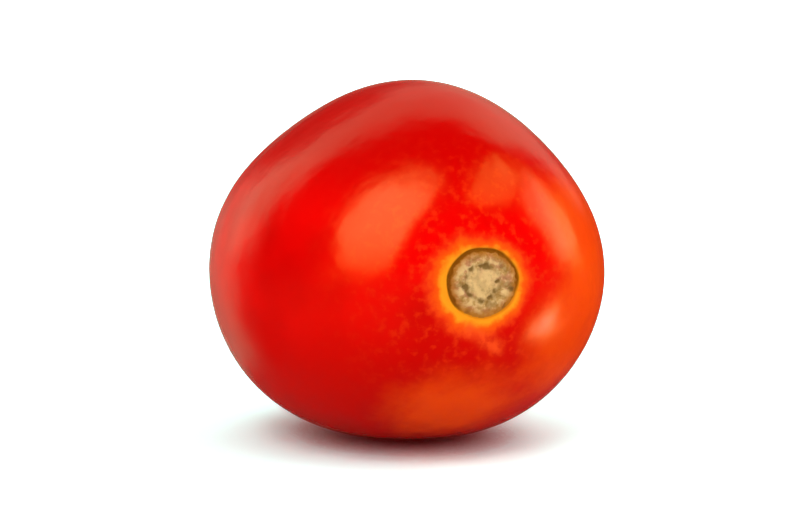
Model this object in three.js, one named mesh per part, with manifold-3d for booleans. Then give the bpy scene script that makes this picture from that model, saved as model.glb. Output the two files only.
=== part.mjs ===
// A ripe plum tomato with its stem picked off, lying on its side.
// Millimetres, +Z up. The fruit's long axis runs along Y, with the stem end towards -Y, and it rests on Z = 0.

import * as THREE from 'three';
import { mergeVertices } from 'three/addons/utils/BufferGeometryUtils.js';
import Module from 'manifold-3d';

const wasm = await Module();
wasm.setup();

// Body
const LENGTH = 76;             // from end to end, before the dimple takes its part
const MEAN_DIAMETER = 58;      // round the middle
const EGG = 0.044;             // how much fatter the stem half is
const OVAL = 0.036;            // the section is wider than it is high
const OVAL_TURN = 9;           // degrees up from +X to the long way of the oval
const TRIANGLE = 0.027;        // the section has three blunt corners, over the walls between its seed chambers
const TRIANGLE_TURN = 84;      // degrees up from +X to the upper corner
const FOUR_SWELLS = 0.007;     // finer unevenness of the section
const FOUR_SWELLS_TURN = -8;
const FIVE_SWELLS = 0.009;
const FIVE_SWELLS_TURN = 10;
const BOW = 0.95;              // both ends sit this much higher than the middle

// Stem end
const DIMPLE_DEPTH = 2.2;
const DIMPLE_RADIUS = 8.5;
const SHOULDER_RISE = 0.35;    // swelling of the shoulder over each seed chamber
const SHOULDER_RADIUS = 14;
const SHOULDER_WIDTH = 4.5;
const SCAR_RADIUS = 5.2;       // corky round where the stem broke off
const SCAR_CROWN = 0.35;       // the cork's rise over its groove
const GROOVE_DEPTH = 0.5;      // crack between the cork and the skin
const GROOVE_WIDTH = 0.45;
const MARKS = 8;               // sunken marks in a ring on the cork, where its strands broke
const MARK_DEPTH = 0.4;
const MARK_RADIUS = 2.6;
const MARK_WIDTH = 0.5;

// Blossom end
const TIP_RISE = 0.8;          // small blunt point
const TIP_RADIUS = 3.2;

// Resting
const PITCH = 2.9;             // degrees by which the stem end points up, as the fruit's weight settles it
const FLAT_DEPTH = 0.35;       // how far the skin is pressed flat where it rests

// Faceting
const SIDES = 84;
const SCAR_RINGS = 15;
const SCAR_FACETED_RADIUS = 6.2;  // the finely faceted round takes in the scar and its groove
const COARSE_STEP = 0.075;        // radians between rings along the sides
const STEP_GROWTH = 0.25;         // how fast the rings spread from the fine ends

const SKIN_COLOUR = 0xd8120a;
const SKIN_ROUGHNESS = 0.22;
const BLOCK_SIZE = 3 * LENGTH;    // the block that trims the resting spot

const radians = THREE.MathUtils.degToRad;

const bump = (distance, width) => Math.exp(-((distance / width) ** 2));

// Swells of the section, spaced evenly round the axis from the one at turn degrees
const swells = (count, amount, turn, around) => amount * Math.cos(count * (around - radians(turn)));

// Distance of the surface from the fruit's axis, at an angle along from the stem pole and an angle round the axis
function girth(along, around) {
  const taper = 1 + EGG * Math.cos(along);
  const oval = swells(2, OVAL, OVAL_TURN, around);
  const corners = swells(3, TRIANGLE, TRIANGLE_TURN, around)
    + swells(4, FOUR_SWELLS, FOUR_SWELLS_TURN, around)
    + swells(5, FIVE_SWELLS, FIVE_SWELLS_TURN, around);
  const section = 1 + oval + corners * Math.sqrt(Math.sin(along));
  return (MEAN_DIAMETER / 2) * Math.sin(along) * taper * section;
}

// Relief of the stem end along the axis: dimple, shoulders, and the scar with its groove and ring of marks
function stemRelief(radius, around) {
  const chambers = Math.cos(3 * (around - radians(TRIANGLE_TURN + 60)));
  const shoulder = SHOULDER_RISE * chambers * bump(radius - SHOULDER_RADIUS, SHOULDER_WIDTH);
  const groove = GROOVE_DEPTH * bump(radius - SCAR_RADIUS, GROOVE_WIDTH);
  const crown = SCAR_CROWN * Math.max(0, 1 - (radius / SCAR_RADIUS) ** 4);
  const strand = 0.6 + 0.4 * Math.cos(MARKS * around);
  const marks = MARK_DEPTH * strand * bump(radius - MARK_RADIUS, MARK_WIDTH);
  return shoulder + crown - groove - marks - DIMPLE_DEPTH * bump(radius, DIMPLE_RADIUS);
}

// One point of the skin, with the fruit's axis along Z and its stem end up
function surfacePoint(along, around) {
  const radius = girth(along, around);
  const height = (LENGTH / 2) * Math.cos(along);
  const relief = along < Math.PI / 2 ? stemRelief(radius, around) : -TIP_RISE * bump(radius, TIP_RADIUS);
  const bow = BOW * (Math.cos(along) ** 2 - 0.5);
  return new THREE.Vector3(radius * Math.cos(around), radius * Math.sin(around) + bow, height + relief);
}

// Angles of the rings from the stem pole, close together on the scar and at both poles
function ringAngles() {
  const scarEdge = Math.asin(SCAR_FACETED_RADIUS / ((MEAN_DIAMETER / 2) * (1 + EGG)));
  const fineStep = scarEdge / SCAR_RINGS;
  const angles = [];
  let angle = 0;
  while (angle < Math.PI - 1.5 * fineStep) {
    const clearance = Math.max(0, Math.min(angle - scarEdge, Math.PI - angle));
    angle += Math.min(COARSE_STEP, fineStep + STEP_GROWTH * clearance);
    angles.push(angle);
  }
  angles.pop();
  return angles;
}

// The closed skin: rings of SIDES points between a point at each pole
function fruitGeometry() {
  const angles = ringAngles();
  const points = [surfacePoint(0, 0)];
  for (const along of angles) {
    for (let side = 0; side < SIDES; side += 1) {
      points.push(surfacePoint(along, (2 * Math.PI * side) / SIDES));
    }
  }
  points.push(surfacePoint(Math.PI, 0));

  const last = points.length - 1;
  const at = (ring, side) => 1 + ring * SIDES + (side % SIDES);
  const faces = [];
  for (let side = 0; side < SIDES; side += 1) {
    faces.push(0, at(0, side), at(0, side + 1));
    faces.push(last, at(angles.length - 1, side + 1), at(angles.length - 1, side));
    for (let ring = 0; ring < angles.length - 1; ring += 1) {
      faces.push(at(ring, side), at(ring + 1, side), at(ring + 1, side + 1));
      faces.push(at(ring, side), at(ring + 1, side + 1), at(ring, side + 1));
    }
  }
  const geometry = new THREE.BufferGeometry().setFromPoints(points);
  geometry.setIndex(faces);
  return geometry;
}

// Lays the fruit down with its stem end towards -Y, its lowest skin FLAT_DEPTH below Z = 0
function layDown(geometry) {
  geometry.rotateX(radians(90 - PITCH));
  geometry.computeBoundingBox();
  const { min, max } = geometry.boundingBox;
  geometry.translate(-(min.x + max.x) / 2, -(min.y + max.y) / 2, -min.z - FLAT_DEPTH);
  return geometry;
}

function toSolid(geometry) {
  const bare = geometry.clone();
  bare.deleteAttribute('normal');
  bare.deleteAttribute('uv');
  const merged = mergeVertices(bare);
  return new wasm.Manifold(new wasm.Mesh({
    numProp: 3,
    vertProperties: new Float32Array(merged.attributes.position.array),
    triVerts: new Uint32Array(merged.index.array),
  }));
}

function toGeometry(solid) {
  const mesh = solid.getMesh();
  const geometry = new THREE.BufferGeometry();
  geometry.setAttribute('position', new THREE.BufferAttribute(new Float32Array(mesh.vertProperties), 3));
  geometry.setIndex(new THREE.BufferAttribute(new Uint32Array(mesh.triVerts), 1));
  geometry.computeVertexNormals();
  return geometry;
}

// The whole fruit in one solid, trimmed flat where it rests
function makeTomato() {
  const block = new THREE.BoxGeometry(BLOCK_SIZE, BLOCK_SIZE, BLOCK_SIZE);
  block.translate(0, 0, -BLOCK_SIZE / 2);
  const fruit = toSolid(layDown(fruitGeometry())).subtract(toSolid(block));
  const skin = new THREE.MeshStandardMaterial({
    color: SKIN_COLOUR,
    roughness: SKIN_ROUGHNESS,
    metalness: 0,
  });
  const mesh = new THREE.Mesh(toGeometry(fruit), skin);
  mesh.name = 'tomato';
  return mesh;
}

const tomato = new THREE.Group();
tomato.add(makeTomato());

export default tomato;
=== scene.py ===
"""Dresses a ripe plum tomato: glossy skin, orange halo and corky stem scar, lit in a plain pale studio."""
import math

import bpy
import numpy as np
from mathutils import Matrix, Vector, noise


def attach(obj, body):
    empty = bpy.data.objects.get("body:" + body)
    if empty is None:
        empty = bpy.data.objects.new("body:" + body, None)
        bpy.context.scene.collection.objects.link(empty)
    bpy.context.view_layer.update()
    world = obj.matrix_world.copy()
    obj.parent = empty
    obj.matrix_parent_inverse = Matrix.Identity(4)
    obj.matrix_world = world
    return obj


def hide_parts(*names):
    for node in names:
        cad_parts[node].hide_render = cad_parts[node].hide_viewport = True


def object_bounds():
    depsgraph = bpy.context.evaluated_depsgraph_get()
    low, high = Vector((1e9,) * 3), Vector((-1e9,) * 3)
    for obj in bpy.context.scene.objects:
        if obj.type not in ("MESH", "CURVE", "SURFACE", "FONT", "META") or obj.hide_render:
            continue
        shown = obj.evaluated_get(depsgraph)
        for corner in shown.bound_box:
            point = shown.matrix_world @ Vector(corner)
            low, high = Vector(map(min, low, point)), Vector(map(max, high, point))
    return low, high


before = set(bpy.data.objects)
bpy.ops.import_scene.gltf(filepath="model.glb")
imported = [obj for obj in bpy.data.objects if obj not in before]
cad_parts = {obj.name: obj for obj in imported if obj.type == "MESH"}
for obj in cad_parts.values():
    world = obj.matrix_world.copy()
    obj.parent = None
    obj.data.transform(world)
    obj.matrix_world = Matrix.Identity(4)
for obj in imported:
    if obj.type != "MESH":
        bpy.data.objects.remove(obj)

CAD_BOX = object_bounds()
FRUIT_MIDDLE = Vector((0, 0, CAD_BOX[1].z / 2))

MM = 0.001

# Form in millimetres, the same as the solid's
LENGTH = 76.0
MEAN_DIAMETER = 58.0
EGG = 0.044
OVAL = 0.036
OVAL_TURN = 9.0
TRIANGLE = 0.027
TRIANGLE_TURN = 84.0
FOUR_SWELLS = 0.007
FOUR_SWELLS_TURN = -8.0
FIVE_SWELLS = 0.009
FIVE_SWELLS_TURN = 10.0
BOW = 0.95
DIMPLE_DEPTH = 2.2
DIMPLE_RADIUS = 8.5
SHOULDER_RISE = 0.35
SHOULDER_RADIUS = 14.0
SHOULDER_WIDTH = 4.5
SCAR_RADIUS = 5.2
SCAR_CROWN = 0.35
GROOVE_DEPTH = 0.5
GROOVE_WIDTH = 0.45
MARK_DEPTH = 0.4
TIP_RISE = 0.8
TIP_RADIUS = 3.2
PITCH = 2.9
FLAT_DEPTH = 0.35
CHAMBERS = 3  # seed chambers, under the sides between the three corners

# Sunken marks on the cork: degrees up from +X, distance from its middle, half width, and depth from 0 to 1
STRAND_MARKS = (
    (3, 2.2, 0.42, 1.0),
    (-36, 2.1, 0.38, 0.7),
    (-64, 2.45, 0.42, 0.75),
    (-97, 2.8, 0.44, 0.6),
    (216, 2.7, 0.5, 0.65),
    (192, 2.95, 0.48, 1.0),
    (158, 3.15, 0.44, 0.45),
    (129, 3.1, 0.42, 0.75),
    (98, 2.6, 0.38, 0.7),
    (78, 2.55, 0.5, 0.9),
    (-14, 4.7, 0.5, 0.9),
    (-48, 5.0, 0.4, 0.6),
    (-122, 5.05, 0.45, 0.5),
)
# Faint ring that joins the marks
RING_RADIUS = 2.8
RING_WIDTH = 0.6
RING_DEPTH = 0.38

# Outline of the cork: how much wider it is than the solid's, and its swells as count, size and turn
CORK_EXTRA = 0.15
CORK_SWELLS = ((2, 0.2, 0), (3, 0.06, 20), (7, 0.05, 8))
# Where the crack round the cork is open: middle and half width in degrees, and how deep from 0 to 1; the
# deeper it is, the more brown is laid in it, partly painted shade
CRACK_STRETCHES = ((105, 62, 1.0), (195, 36, 0.7), (5, 35, 0.45))
CRACK_LEAST = 0.25

# Unevenness of the scar, made by smooth noise
FRACTAL = (1.0, 2.0, 3)  # roughness, step between octaves and number of octaves
ACROSS_SEED = 1.0
UP_SEED = 2.0
LUMP_SEED = 3.0
BEND_SIZE = 0.9
MARK_BEND = 0.3
CRACK_BEND = 0.15
CRACK_WIDENING = 0.5  # share by which the crack is wider or narrower
BEND_REACH = 1.5      # how far beyond the cork the bends go
LUMP_SIZE = 0.8
LUMP_HEIGHT = 0.13
LUMP_REACH = 0.3

# Fineness of the mesh
SIDES = 310
SCAR_RINGS = 52
SCAR_FINE_RADIUS = 6.2
COARSE_STEP = 0.0122  # radians between rings along the sides
STEP_GROWTH = 0.06    # how fast the rings spread from the fine ends
TIP_STEPS = 4         # fine steps that are left between the last rings and the tip
FLAT_SOFTNESS = 0.1   # how softly the edge of the resting spot turns up

# Colour round the stem scar, in millimetres
HALO_WIDTH = 3.4
HALO_SWELLS = ((1, 0.2, 175), (3, 0.08, 10))  # of its width: count, share and turn
HALO_NARROW_SIDE = 55                         # degrees up from +X
HALO_NARROWING = 0.1
STREAK_ENDS = ((-2.4, -6.9), (2.3, -10.1))    # across and up from the stem, of a pale streak below it
STREAK_WIDTH = 1.1
RAY_LENGTH = 60.0                             # the halo's rays run out over this length
OUT_OF_REACH = 99.0

# Camera, as in the photograph
CAMERA_AZIMUTH = -19.9
CAMERA_ELEVATION = 9.3
CAMERA_DISTANCE = 1.0
CAMERA_NEAREST = 0.01
PICTURE_WIDTH = 800
MM_PER_PIXEL = 0.158
SENSOR_WIDTH = 36.0

WHITE = (1, 1, 1, 1)


def bump(distance, width):
    return np.exp(-((distance / width) ** 2))


def from_segment(x, y, start, end):
    """Distance of each point from the line between two ends."""
    run, rise = end[0] - start[0], end[1] - start[1]
    share = np.clip(((x - start[0]) * run + (y - start[1]) * rise) / (run**2 + rise**2), 0, 1)
    return np.hypot(x - start[0] - share * run, y - start[1] - share * rise)


def direction(azimuth, elevation):
    """From the fruit: azimuth 0 points at -Y, the stem end, and grows towards +X."""
    a, e = math.radians(azimuth), math.radians(elevation)
    return Vector((math.sin(a) * math.cos(e), -math.cos(a) * math.cos(e), math.sin(e)))


def look_back(thing, towards):
    """Turns a lamp or the camera, which stands in a direction from the fruit, back towards the fruit."""
    thing.rotation_euler = towards.to_track_quat("Z", "Y").to_euler()


def swells(count, amount, turn, around):
    """Swells spaced evenly round the axis from the one at turn degrees."""
    return amount * np.cos(count * (around - math.radians(turn)))


def girth(along, around):
    """Distance of the skin from the axis, at angles along from the stem pole and round the axis."""
    taper = 1 + EGG * np.cos(along)
    oval = swells(2, OVAL, OVAL_TURN, around)
    corners = swells(3, TRIANGLE, TRIANGLE_TURN, around)
    corners += swells(4, FOUR_SWELLS, FOUR_SWELLS_TURN, around)
    corners += swells(5, FIVE_SWELLS, FIVE_SWELLS_TURN, around)
    section = 1 + oval + corners * np.sqrt(np.abs(np.sin(along)))
    return MEAN_DIAMETER / 2 * np.sin(along) * taper * section


def stem_relief(radius, around):
    """Dimple, shoulders and the cork's low crown, along the fruit's axis."""
    over_chambers = swells(CHAMBERS, SHOULDER_RISE, TRIANGLE_TURN + 180 / CHAMBERS, around)
    shoulder = over_chambers * bump(radius - SHOULDER_RADIUS, SHOULDER_WIDTH)
    crown = SCAR_CROWN * np.maximum(0, 1 - (radius / SCAR_RADIUS) ** 4)
    return shoulder + crown - DIMPLE_DEPTH * bump(radius, DIMPLE_RADIUS)


def cork_radius(around):
    """Distance from the cork's middle to the crack round it."""
    return SCAR_RADIUS + CORK_EXTRA + sum(swells(*swell, around) for swell in CORK_SWELLS)


def scar_noise(across, up, near, size, seed):
    """Smooth noise from about -1 to 1 on the points near the scar, and 0 elsewhere."""
    values = np.zeros(len(across))
    for k in np.nonzero(near)[0]:
        values[k] = noise.fractal(Vector((across[k] / size, up[k] / size, seed)), *FRACTAL)
    return values


def crack_opening(around):
    """How far the crack is open at each angle, from 0 to 1."""
    opening = CRACK_LEAST
    for middle, half_width, depth in CRACK_STRETCHES:
        nearness = np.cos(around - math.radians(middle)) - 1
        opening = opening + depth * np.exp(2 * nearness / math.radians(half_width) ** 2)
    return np.minimum(opening, 1.0)


def scar_hollows(radius, around, near):
    """How deep the crack and the marks are, from 0 to 1 each."""
    across, up = radius * np.cos(around), radius * np.sin(around)
    bend = scar_noise(across, up, near, BEND_SIZE, ACROSS_SEED)
    across = across + MARK_BEND * bend
    up = up + MARK_BEND * scar_noise(across, up, near, BEND_SIZE, UP_SEED)

    from_crack = radius + CRACK_BEND * bend - cork_radius(around)
    crack = crack_opening(around) * bump(from_crack, GROOVE_WIDTH * (1 + CRACK_WIDENING * bend))
    marks = RING_DEPTH * bump(np.hypot(across, up) - RING_RADIUS, RING_WIDTH)
    for turn, distance, half_width, depth in STRAND_MARKS:
        beside = across - distance * math.cos(math.radians(turn))
        above = up - distance * math.sin(math.radians(turn))
        marks = marks + depth * bump(np.hypot(beside, above), half_width)
    return crack, np.minimum(marks, 1.0)


def ring_angles():
    """Angles of the rings from the stem pole, close together on the scar and near the tip."""
    fine_edge = math.asin(SCAR_FINE_RADIUS / (MEAN_DIAMETER / 2 * (1 + EGG)))
    fine_step = fine_edge / SCAR_RINGS
    angles = []
    angle = 0.0
    while angle < math.pi - TIP_STEPS * fine_step:
        clearance = max(0.0, min(angle - fine_edge, math.pi - angle))
        angle += min(COARSE_STEP, fine_step + STEP_GROWTH * clearance)
        angles.append(angle)
    angles.pop()
    return np.array(angles)


def grid_points(angles):
    """Angles along and round the fruit: the stem pole, then each ring's points, then the tip."""
    sides = 2 * math.pi * np.arange(SIDES) / SIDES
    grids = np.meshgrid(angles, sides, indexing="ij")
    along, around = (grid.ravel() for grid in grids)
    return np.concatenate([[0.0], along, [math.pi]]), np.concatenate([[0.0], around, [0.0]])


def grid_faces(rings):
    """Quads between the rings, and then the triangles round the stem pole and round the tip."""
    grids = np.meshgrid(np.arange(rings - 1), np.arange(SIDES), indexing="ij")
    ring, side = (grid.ravel() for grid in grids)
    beside = (side + 1) % SIDES
    start = 1 + ring * SIDES
    quads = np.stack([start + side, start + SIDES + side, start + SIDES + beside, start + beside], -1)
    tip = 1 + rings * SIDES
    last_ring = tip - SIDES
    pairs = [(side, (side + 1) % SIDES) for side in range(SIDES)]
    stem_cap = [(0, 1 + side, 1 + beside) for side, beside in pairs]
    tip_cap = [(tip, last_ring + beside, last_ring + side) for side, beside in pairs]
    return quads, stem_cap + tip_cap


def lay_down(points):
    """Turns the fruit onto its side and presses its resting spot flat on the floor."""
    turn = math.radians(90 - PITCH)
    cos, sin = math.cos(turn), math.sin(turn)
    x, y, z = points.T
    laid = np.stack([x, y * cos - z * sin, y * sin + z * cos], -1)
    low, high = laid.min(0), laid.max(0)
    laid -= [(low[0] + high[0]) / 2, (low[1] + high[1]) / 2, low[2] + FLAT_DEPTH]
    height = laid[:, 2]
    laid[:, 2] = (height + np.sqrt(height**2 + FLAT_SOFTNESS**2)) / 2
    return laid


def make_tomato():
    """The fruit in one closed mesh, with the values that its materials read kept at each point."""
    angles = ring_angles()
    along, around = grid_points(angles)
    radius = girth(along, around)
    across, up = radius * np.cos(around), radius * np.sin(around)
    stem_half = along < math.pi / 2
    beyond_cork = radius - cork_radius(around)
    crack, marks = scar_hollows(radius, around, stem_half & (beyond_cork < BEND_REACH))
    lumps = scar_noise(across, up, stem_half & (beyond_cork < LUMP_REACH), LUMP_SIZE, LUMP_SEED)
    relief = np.where(
        stem_half,
        stem_relief(radius, around) - GROOVE_DEPTH * crack - MARK_DEPTH * marks + LUMP_HEIGHT * lumps,
        -TIP_RISE * bump(radius, TIP_RADIUS),
    )
    bow = BOW * (np.cos(along) ** 2 - 0.5)
    points = np.stack([across, up + bow, LENGTH / 2 * np.cos(along) + relief], -1)
    quads, caps = grid_faces(len(angles))

    mesh = bpy.data.meshes.new("tomato_skin")
    mesh.from_pydata((lay_down(points) * MM).tolist(), [], quads.tolist() + caps)
    mesh.polygons.foreach_set("use_smooth", [True] * len(mesh.polygons))

    on_cork = stem_half & (beyond_cork < 0)
    slots = np.zeros(len(mesh.polygons), np.int32)
    slots[: len(quads)] = on_cork[quads[:, 0]]
    slots[len(quads) : len(quads) + SIDES] = 1
    mesh.polygons.foreach_set("material_index", slots)

    halo_width = HALO_WIDTH * (1 + sum(swells(*swell, around) for swell in HALO_SWELLS))
    narrowing = HALO_NARROWING * (1 + swells(1, 1, HALO_NARROW_SIDE, around))
    streak = bump(from_segment(across, up, *STREAK_ENDS), STREAK_WIDTH)
    from_stem = np.where(stem_half, radius, OUT_OF_REACH)
    kept = {
        "halo": np.where(stem_half, beyond_cork / halo_width + narrowing, OUT_OF_REACH),
        "beyond_cork": np.where(stem_half, beyond_cork, OUT_OF_REACH),
        "from_stem": from_stem,
        "streak": np.where(stem_half, streak, 0.0),
        "from_tip": np.where(stem_half, OUT_OF_REACH, radius),
        "crack": np.where(stem_half, crack, 0.0),
        "marks": np.where(stem_half, marks, 0.0),
    }
    for name, values in kept.items():
        attribute = mesh.attributes.new(name, "FLOAT", "POINT")
        attribute.data.foreach_set("value", values.astype(np.float32))
    polar = np.stack([np.cos(around), np.sin(around), from_stem / RAY_LENGTH], -1)
    attribute = mesh.attributes.new("polar", "FLOAT_VECTOR", "POINT")
    attribute.data.foreach_set("vector", polar.astype(np.float32).ravel())

    fruit = bpy.data.objects.new("tomato_fruit", mesh)
    bpy.context.collection.objects.link(fruit)
    return fruit


class Nodes:
    """The node tree of a material, a lamp or the world, with a short call for each kind of node."""

    def __init__(self, owner):
        owner.use_nodes = True
        self.tree = owner.node_tree

    def feed(self, socket, value):
        if isinstance(value, bpy.types.NodeSocket):
            self.tree.links.new(value, socket)
        else:
            socket.default_value = value

    def node(self, kind, inputs=(), **settings):
        made = self.tree.nodes.new(kind)
        for name, value in settings.items():
            setattr(made, name, value)
        for socket, value in dict(inputs).items():
            self.feed(made.inputs[socket], value)
        return made

    def times(self, a, b):
        return self.node("ShaderNodeMath", {0: a, 1: b}, operation="MULTIPLY").outputs[0]

    def plus(self, a, b):
        return self.node("ShaderNodeMath", {0: a, 1: b}, operation="ADD").outputs[0]

    def fade(self, value, low, high, to_low=0.0, to_high=1.0, kind="SMOOTHSTEP"):
        inputs = {"Value": value, "From Min": low, "From Max": high, "To Min": to_low, "To Max": to_high}
        return self.node("ShaderNodeMapRange", inputs, interpolation_type=kind).outputs["Result"]

    def mix(self, factor, a, b):
        return self.node("ShaderNodeMix", {0: factor, 6: a, 7: b}, data_type="RGBA").outputs[2]


class Recipe(Nodes):
    """A material's nodes, with short calls for what the finishes are made of."""

    def __init__(self, name):
        self.material = bpy.data.materials.new(name)
        super().__init__(self.material)
        self.shader = self.tree.nodes["Principled BSDF"]

    def place(self):
        return self.node("ShaderNodeTexCoord").outputs["Object"]

    def attribute(self, name, output="Fac"):
        return self.node("ShaderNodeAttribute", attribute_name=name).outputs[output]

    def noise(self, vector, size, detail=2.0, rough=0.5):
        inputs = {"Vector": vector, "Scale": 1 / size, "Detail": detail, "Roughness": rough}
        return self.node("ShaderNodeTexNoise", inputs).outputs["Fac"]

    def coats(self, colour, rows, drivers):
        """Lays on each row's colour where its driver says: a given socket, or an attribute of the mesh."""
        for name, none, full, share, coat in rows:
            driver = drivers[name] if name in drivers else self.attribute(name)
            colour = self.mix(self.fade(driver, none, full, 0.0, share), colour, coat)
        return colour

    def ramp(self, value, stops):
        made = self.node("ShaderNodeValToRGB", {"Fac": value})
        elements = made.color_ramp.elements
        for position, _ in stops[1:-1]:
            elements.new(position)
        for element, (position, colour) in zip(elements, stops):
            element.position = position
            element.color = colour
        return made.outputs["Color"]

    def relief(self, height, depth, normal=None):
        inputs = {"Height": height, "Distance": depth, "Strength": 1.0}
        if normal is not None:
            inputs["Normal"] = normal
        return self.node("ShaderNodeBump", inputs).outputs["Normal"]

    def finish(self, **inputs):
        for name, value in inputs.items():
            self.feed(self.shader.inputs[name.replace("_", " ")], value)
        return self.material


# Deep red is the skin's own darker tone, and on its top and foot it is painted shade as well
DEEP_RED = (0.60, 0.0003, 0.0003, 1)
BRIGHT_RED = (0.87, 0.0006, 0.0004, 1)
FLECK_ORANGE = (0.88, 0.05, 0.006, 1)
ORANGE = (0.94, 0.085, 0.002, 1)
STREAK_ORANGE = (1.0, 0.10, 0.014, 1)
HALO_YELLOW = (1.0, 0.40, 0.014, 1)
HALO_ORANGE = (0.96, 0.12, 0.004, 1)
CORK_PALE = (0.73, 0.58, 0.24, 1)
CORK_TAN = (0.49, 0.33, 0.10, 1)
CORK_PINK = (0.51, 0.27, 0.12, 1)
MARK_BROWN = (0.18, 0.11, 0.025, 1)
# Brown of the scars; in the crack round the cork it is partly the crack's own colour and partly painted
# shade
SCAR_BROWN_AND_CRACK_SHADE = (0.25, 0.09, 0.003, 1)
EDGE_OLIVE = (0.43, 0.17, 0.010, 1)
EDGE_ORANGE = (0.62, 0.20, 0.012, 1)

NOISE_SPREAD = (0.3, 0.7)  # most of the noise lies between these

# Clouds of brighter red: size, the noise where they start and are full, and the heights where they fade,
# which paints shade on the top and the foot
CLOUD_SIZE = 22 * MM
CLOUD_EDGE = (0.3, 0.6)
PAINTED_SHADE_TOP = (50 * MM, 36 * MM)
PAINTED_SHADE_FOOT = (13 * MM, 32 * MM)

# Orange patches of the skin, in metres: middle, outer and inner radius, and share of orange
ORANGE_PATCHES = (
    ((-0.001, -0.028, 0.008), 0.019, 0.009, 0.9),
    ((0.0195, -0.0305, 0.0205), 0.0205, 0.0115, 0.85),
    ((0.023, -0.0285, 0.0355), 0.0205, 0.0120, 0.8),
    ((0.027, -0.018, 0.027), 0.027, 0.007, 0.5),
)
PATCH_EDGE_SIZE = 9 * MM
PATCH_EDGE_DEPTH = 10 * MM

# Flecks and mottling near the stem
MOTTLE_SIZE = 1.3 * MM
FLECK_EDGE = (0.48, 0.72)
FLECK_SHARE = 0.5
FLECK_REACH = (26.0, 7.0)  # millimetres from the stem at which they start and are full

# Halo, where 0 is the cork's edge and 1 the halo's width
HALO_TINTS = ((0.0, HALO_YELLOW), (0.28, HALO_YELLOW), (0.55, HALO_ORANGE), (0.9, FLECK_ORANGE))
HALO_FADE = (1.25, 0.6)
HALO_MOTTLE = 0.07
RAY_SIZE = 0.45
RAY_EDGE = (0.25, 0.75)
RAY_DEPTH = 0.12
STREAK_EDGE = (0.35, 0.6)
STREAK_SHARES = (0.35, 0.75)

# Coats of colour, one on the other: driver, where the coat starts and is full, its share and its colour
SKIN_COATS = (
    ("beyond_cork", 0.6, 0.0, 0.8, EDGE_ORANGE),
    # the crack's brown on the skin: partly its own colour, partly painted shade in the groove
    ("crack", 0.35, 0.85, 1.0, SCAR_BROWN_AND_CRACK_SHADE),
    ("from_tip", 1.3, 0.4, 0.9, SCAR_BROWN_AND_CRACK_SHADE),
)
CORK_COATS = (
    ("broad", 0.4, 0.6, 1.0, CORK_TAN),
    ("grain", 0.45, 0.65, 0.7, CORK_PALE),
    ("patches", 0.5, 0.62, 0.85, CORK_PALE),
    ("patches", 0.47, 0.36, 0.5, MARK_BROWN),
    ("from_stem", 2.9, 1.9, 0.65, CORK_PALE),
    ("grain", 0.5, 0.25, 0.35, MARK_BROWN),
    ("beyond_cork", -1.7, 0.0, 0.9, EDGE_OLIVE),
    ("marks", 0.1, 0.9, 0.9, MARK_BROWN),
    # the crack's brown on the cork: partly its own colour, partly painted shade in the groove
    ("crack", 0.35, 0.85, 1.0, SCAR_BROWN_AND_CRACK_SHADE),
)

# Relief that only bends the gloss: size, detail and depth
SKIN_WAVES = (12 * MM, 1, 0.4 * MM)
SKIN_RIPPLES = (5 * MM, 2, 0.14 * MM)
SKIN_GRAIN = (1.0 * MM, 2, 0.009 * MM)

SKIN_ROUGHNESS = (0.17, 0.21)
SKIN_GLOSS_TINT = (1.0, 0.62, 0.22, 1)
CORK_GRAIN_SIZE = 0.7 * MM
CORK_GRAIN_DEPTH = 0.1 * MM
CORK_GRAIN_SPREAD = (0.2, 0.8)
CORK_ROUGHNESS = (0.75, 0.95)
CORK_BROAD_SIZE = 1.6 * MM
CORK_PATCH_SIZE = 1.5 * MM


def red_skin_with_painted_shade(recipe, place):
    """Deep red with clouds of brighter red round the middle of its height, so that the top and the foot are
    darker: painted shade.
    """
    height = recipe.node("ShaderNodeSeparateXYZ", {"Vector": place}).outputs["Z"]
    cloud_and_painted_light = recipe.fade(recipe.noise(place, CLOUD_SIZE, detail=2), *CLOUD_EDGE)
    # fading the clouds out towards the top and the foot paints shade there
    for heights in (PAINTED_SHADE_TOP, PAINTED_SHADE_FOOT):
        cloud_and_painted_light = recipe.times(cloud_and_painted_light, recipe.fade(height, *heights))
    return recipe.mix(cloud_and_painted_light, DEEP_RED, BRIGHT_RED)


def with_patches(recipe, place, colour):
    """Adds the orange patches, with uneven edges."""
    unevenness = recipe.times(recipe.noise(place, PATCH_EDGE_SIZE, detail=5, rough=0.62), PATCH_EDGE_DEPTH)
    for middle, outer, inner, share in ORANGE_PATCHES:
        away = recipe.node("ShaderNodeVectorMath", {0: place, 1: middle}, operation="DISTANCE")
        uneven = recipe.plus(away.outputs["Value"], unevenness)
        colour = recipe.mix(recipe.fade(uneven, outer, inner, 0.0, share), colour, ORANGE)
    return colour


def with_halo(recipe, mottle, colour):
    """Adds the flecks near the stem, the ragged halo round the scar and the pale streak below it."""
    near_stem = recipe.fade(recipe.attribute("from_stem"), *FLECK_REACH)
    flecks = recipe.times(recipe.fade(mottle, *FLECK_EDGE, 0.0, FLECK_SHARE), near_stem)
    colour = recipe.mix(flecks, colour, FLECK_ORANGE)

    rays = recipe.noise(recipe.attribute("polar", "Vector"), RAY_SIZE, detail=3)
    halo = recipe.plus(recipe.attribute("halo"), recipe.fade(rays, *RAY_EDGE, RAY_DEPTH, -RAY_DEPTH))
    halo = recipe.plus(halo, recipe.fade(mottle, *NOISE_SPREAD, HALO_MOTTLE, -HALO_MOTTLE))
    colour = recipe.mix(recipe.fade(halo, *HALO_FADE), colour, recipe.ramp(halo, HALO_TINTS))
    streak = recipe.times(recipe.attribute("streak"), recipe.fade(mottle, *STREAK_EDGE, *STREAK_SHARES))
    return recipe.mix(streak, colour, STREAK_ORANGE)


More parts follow.
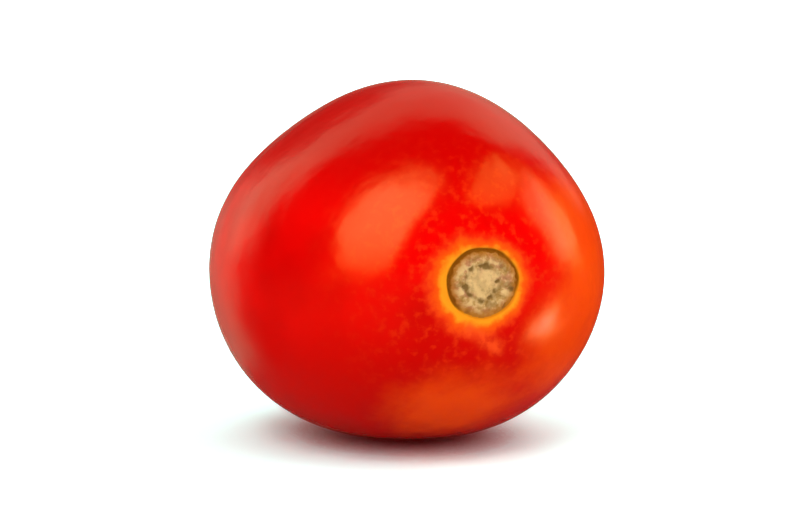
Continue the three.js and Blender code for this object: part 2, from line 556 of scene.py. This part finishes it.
def skin_material():
    recipe = Recipe("tomato_skin")
    place = recipe.place()
    mottle = recipe.noise(place, MOTTLE_SIZE, detail=3)
    colour = with_patches(recipe, place, red_skin_with_painted_shade(recipe, place))
    colour = with_halo(recipe, mottle, colour)
    normal = None
    for size, detail, depth in (SKIN_WAVES, SKIN_RIPPLES, SKIN_GRAIN):
        normal = recipe.relief(recipe.noise(place, size, detail), depth, normal)
    return recipe.finish(
        Base_Color=recipe.coats(colour, SKIN_COATS, {}),
        Roughness=recipe.fade(mottle, *NOISE_SPREAD, *SKIN_ROUGHNESS),
        Normal=normal,
        Specular_Tint=SKIN_GLOSS_TINT,
        IOR=1.45,
        Subsurface_Weight=0.1,
        Subsurface_Radius=(1.0, 0.12, 0.04),
        Subsurface_Scale=0.004,
    )


def cork_material():
    recipe = Recipe("stem_scar_cork")
    place = recipe.place()
    grain = recipe.noise(place, CORK_GRAIN_SIZE, detail=3, rough=0.55)
    drivers = {
        "grain": grain,
        "broad": recipe.noise(place, CORK_BROAD_SIZE, detail=2),
        "patches": recipe.noise(place, CORK_PATCH_SIZE, detail=1),
    }
    return recipe.finish(
        Base_Color=recipe.coats(CORK_PINK, CORK_COATS, drivers),
        Specular_IOR_Level=0.1,
        Roughness=recipe.fade(grain, *CORK_GRAIN_SPREAD, *CORK_ROUGHNESS),
        Normal=recipe.relief(grain, CORK_GRAIN_DEPTH),
    )


FLOOR_SIZE = 3.0
FLOOR_SEEN = (1.2, 2.0, 2.0, 1)       # over-bright, so that the camera sees it white
FLOOR_BOUNCE = (0.7, 0.7, 0.7, 1)
PAINTED_CONTACT_SHADOW = (0.5, 0.07, 0.07, 1)  # painted contact shadow, under the overhang of the fruit
CONTACT_REACH = 0.04
CONTACT_SAMPLES = 4
CONTACT_OPENNESS = (0.06, 0.48)       # where the painted contact shadow is full, and where it ends
# The floor as the fruit's gloss sees it near the fruit: darker and red, painted shade
GLOSS_FLOOR_PAINTED_SHADE = (0.45, 0.12, 0.1, 1)
GLOSS_REACH = (0.03, 0.05)            # from the fruit's middle, where its gloss begins to lose the floor


def make_floor():
    """A plain floor that the camera sees white, with a painted contact shadow where the fruit closes it in.
    """
    mesh = bpy.data.meshes.new("floor")
    corners = [(-1, -1, 0), (1, -1, 0), (1, 1, 0), (-1, 1, 0)]
    mesh.from_pydata([Vector(corner) * FLOOR_SIZE for corner in corners], [], [(0, 1, 2, 3)])
    floor = bpy.data.objects.new("floor", mesh)
    bpy.context.collection.objects.link(floor)

    recipe = Recipe("floor_white")
    rays = recipe.node("ShaderNodeLightPath").outputs
    # occlusion darkens the floor's colour near the fruit: a painted contact shadow
    shade = recipe.node("ShaderNodeAmbientOcclusion", {"Distance": CONTACT_REACH}, samples=CONTACT_SAMPLES)
    seen = recipe.mix(recipe.fade(shade.outputs["AO"], *CONTACT_OPENNESS), PAINTED_CONTACT_SHADOW, FLOOR_SEEN)
    colour = recipe.mix(rays["Is Camera Ray"], FLOOR_BOUNCE, seen)
    # near the fruit the gloss sees the floor darker and red: painted shade
    colour = recipe.mix(rays["Is Glossy Ray"], colour, GLOSS_FLOOR_PAINTED_SHADE)
    recipe.finish(Base_Color=colour, Roughness=0.9, Specular_IOR_Level=0.0)

    away = recipe.node("ShaderNodeVectorMath", {0: recipe.place()}, operation="LENGTH").outputs["Value"]
    unseen = recipe.times(rays["Is Glossy Ray"], recipe.fade(away, *GLOSS_REACH))
    nothing = recipe.node("ShaderNodeBsdfTransparent").outputs["BSDF"]
    either = recipe.node("ShaderNodeMixShader", {0: unseen, 1: recipe.shader.outputs["BSDF"], 2: nothing})
    recipe.feed(recipe.tree.nodes["Material Output"].inputs["Surface"], either.outputs["Shader"])
    mesh.materials.append(recipe.material)


# Wide lights: name, azimuth, elevation and strength
WIDE_LIGHTS = (
    ("left_light", -62, 8, 3.3),
    ("right_light", 65, 5, 3.3),
    ("back_light", 160, 35, 1.4),
)
WIDE_ANGLE = 110

# Softboxes. Sizes and distance are in metres; the small one stands for a gleam of light near the floor
SOFTBOXES = (
    dict(name="left_softbox", azimuth=-61, elevation=39, width=0.98, height=1.85, radiance=6.6,
         colour=(1.0, 0.9, 0.62), foot=0.25),
    dict(name="right_softbox", azimuth=84, elevation=19, width=0.97, height=1.05, radiance=4.2,
         colour=(1.0, 0.73, 0.42), soft=0.7),
    dict(name="right_softbox_top", azimuth=60, elevation=53, width=1.05, height=0.36, radiance=3.4,
         colour=(1.0, 0.78, 0.22)),
    dict(name="floor_gleam", azimuth=39.7, elevation=-19.2, width=0.026, height=0.018, radiance=7.5,
         colour=(1.0, 0.88, 0.78), soft=0.95, distance=0.059),
)
FRINGE_TINT = (1.0, 0.8, 0.0, 1)  # a softbox turns warmer where it fades
LAMP_MIDDLE = 0.5                 # places on a lamp run from 0 to 1


def new_lamp(name, kind, strength, colour):
    light = bpy.data.lights.new(name, kind)
    light.energy = strength
    light.color = colour
    lamp = bpy.data.objects.new(name, light)
    bpy.context.collection.objects.link(lamp)
    lamp.visible_camera = False
    return lamp


def wide_light(name, azimuth, elevation, strength):
    """Soft light from a wide part of the studio, which brings out the fruit's own colour and no gloss."""
    lamp = new_lamp(name, "SUN", strength, WHITE[:3])
    lamp.data.angle = math.radians(WIDE_ANGLE)
    lamp.data.cycles.use_multiple_importance_sampling = False
    look_back(lamp, direction(azimuth, elevation))
    lamp.visible_glossy = False


def softbox(name, azimuth, elevation, width, height, radiance, colour, soft=0.45, distance=1.0, foot=1.0):
    """A softbox that shows only in the gloss, fades over a share of its size and may have a dimmer foot."""
    lamp = new_lamp(name, "AREA", radiance * math.pi * width * height, colour)
    lamp.data.shape = "RECTANGLE"
    lamp.data.size = width
    lamp.data.size_y = height
    towards = direction(azimuth, elevation)
    lamp.location = towards * distance + FRUIT_MIDDLE
    look_back(lamp, towards)
    lamp.visible_diffuse = False

    nodes = Nodes(lamp.data)
    place = nodes.node("ShaderNodeNewGeometry").outputs["Parametric"]
    across, up = nodes.node("ShaderNodeSeparateXYZ", {0: place}).outputs[:2]
    fades = []
    for side in (across, up):
        from_edge = nodes.node("ShaderNodeMath", {0: side, 1: LAMP_MIDDLE}, operation="PINGPONG").outputs[0]
        fades.append(nodes.fade(from_edge, 0.0, soft / 2))
    slope = nodes.fade(up, 0.0, LAMP_MIDDLE, foot, 1.0, kind="LINEAR")
    strength = nodes.times(nodes.times(*fades), slope)
    emission = nodes.tree.nodes["Emission"].inputs
    nodes.feed(emission["Strength"], strength)
    nodes.feed(emission["Color"], nodes.mix(strength, FRINGE_TINT, WHITE))


# What the gloss sees where no softbox stands. Upward, aside (to the camera's right) and beyond (away from
# the camera) are each the part of a direction that points that way, from -1 to 1
SURROUNDINGS = (0.24, 0.003, 0.002, 1)  # red light from all round
BACKDROP_ASIDE = (0.4, 0.87, 0.6, 1)
BACKDROP_BEHIND = (1.0, 0.85, 0.62, 1)
BEHIND = (0.7, 0.92)                    # beyond, where the one colour turns into the other
BACKDROP_NEAR = 0.8                     # how bright the backdrop is at its edges
BACKDROP_FAR = 0.35                     # and straight beyond the fruit
NEAR_TO_FAR = (0.6, 0.92)
BORDER_START = (0.4, 0.55, 0.43, 0.49)  # where the backdrop starts: upward from and to, beyond from and to
BORDER_END = (-0.05, 0.2, 0.82, 0.57)   # and where it is full
# More fades of the backdrop: which way, from and to, and how bright from and to
BACKDROP_FADES = (
    ("aside", 0.1, 0.3, 1.0, 1.3),
    ("aside", 0.43, 0.57, 1.0, 0.03),
    ("upward", -0.88, -0.35, 0.0, 1.0),
    ("upward", 0.05, 0.3, 1.0, 1.25),
    ("upward", 0.5, 0.7, 1.0, 0.7),
    ("upward", 0.7, 0.88, 1.0, 0.2),
)
# Dark parts of it and a brighter one: azimuth and elevation, where they start and are full, how bright
BACKDROP_GAPS = ((170, 9), (180, 20))
GAP_EDGE = (0.968, 0.996)
GAP_BRIGHTNESS = 0.15
BACKDROP_GLOW = (-152, 16)
GLOW_EDGE = (0.93, 0.99)
GLOW_BRIGHTNESS = 0.5
# Its lower right is dark
LOW = (0.2, 0.0)
RIGHT = (0.0, 0.3)
LOW_RIGHT_BRIGHTNESS = 0.05


def make_world():
    """White for the camera; for the fruit, red surroundings and a pale backdrop beyond it."""
    world = bpy.data.worlds.new("studio")
    bpy.context.scene.world = world
    nodes = Nodes(world)
    world.cycles.sampling_method = "NONE"
    towards = nodes.node("ShaderNodeTexCoord").outputs["Generated"]

    def nearness(azimuth, elevation):
        inputs = {0: towards, 1: direction(azimuth, elevation)}
        return nodes.node("ShaderNodeVectorMath", inputs, operation="DOT_PRODUCT").outputs["Value"]

    beyond = nearness(CAMERA_AZIMUTH + 180, 0)
    aside = nearness(CAMERA_AZIMUTH + 90, 0)
    upward = nodes.node("ShaderNodeSeparateXYZ", {0: towards}).outputs["Z"]
    ways = {"aside": aside, "upward": upward}

    glow = nodes.fade(nearness(*BACKDROP_GLOW), *GLOW_EDGE, 0.0, GLOW_BRIGHTNESS)
    backdrop = nodes.plus(nodes.fade(beyond, *NEAR_TO_FAR, BACKDROP_NEAR, BACKDROP_FAR), glow)
    border = nodes.fade(beyond, nodes.fade(upward, *BORDER_START), nodes.fade(upward, *BORDER_END))
    backdrop = nodes.times(backdrop, border)
    for way, *fade in BACKDROP_FADES:
        backdrop = nodes.times(backdrop, nodes.fade(ways[way], *fade))
    for gap in BACKDROP_GAPS:
        backdrop = nodes.times(backdrop, nodes.fade(nearness(*gap), *GAP_EDGE, 1.0, GAP_BRIGHTNESS))
    low_right = nodes.times(nodes.fade(aside, *RIGHT), nodes.fade(upward, *LOW))
    backdrop = nodes.times(backdrop, nodes.fade(low_right, 0.0, 1.0, 1.0, LOW_RIGHT_BRIGHTNESS))

    pale = nodes.mix(nodes.fade(beyond, *BEHIND), BACKDROP_ASIDE, BACKDROP_BEHIND)
    colour = nodes.mix(backdrop, SURROUNDINGS, pale)
    camera_ray = nodes.node("ShaderNodeLightPath").outputs["Is Camera Ray"]
    nodes.feed(nodes.tree.nodes["Background"].inputs["Color"], nodes.mix(camera_ray, colour, WHITE))


def make_camera():
    lens = bpy.data.cameras.new("camera")
    lens.sensor_width = SENSOR_WIDTH
    lens.lens = SENSOR_WIDTH * CAMERA_DISTANCE / (PICTURE_WIDTH * MM_PER_PIXEL * MM)
    lens.clip_start = CAMERA_NEAREST
    camera = bpy.data.objects.new("camera", lens)
    bpy.context.collection.objects.link(camera)
    towards = direction(CAMERA_AZIMUTH, CAMERA_ELEVATION)
    camera.location = towards * CAMERA_DISTANCE + FRUIT_MIDDLE
    look_back(camera, towards)
    bpy.context.scene.camera = camera


make_camera()
tomato = make_tomato()
tomato.data.materials.append(skin_material())
tomato.data.materials.append(cork_material())
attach(tomato, "root")
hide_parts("tomato")

make_floor()
make_world()
for wide in WIDE_LIGHTS:
    wide_light(*wide)
for box in SOFTBOXES:
    softbox(**box)
bpy.context.scene.view_settings.view_transform = "Standard"
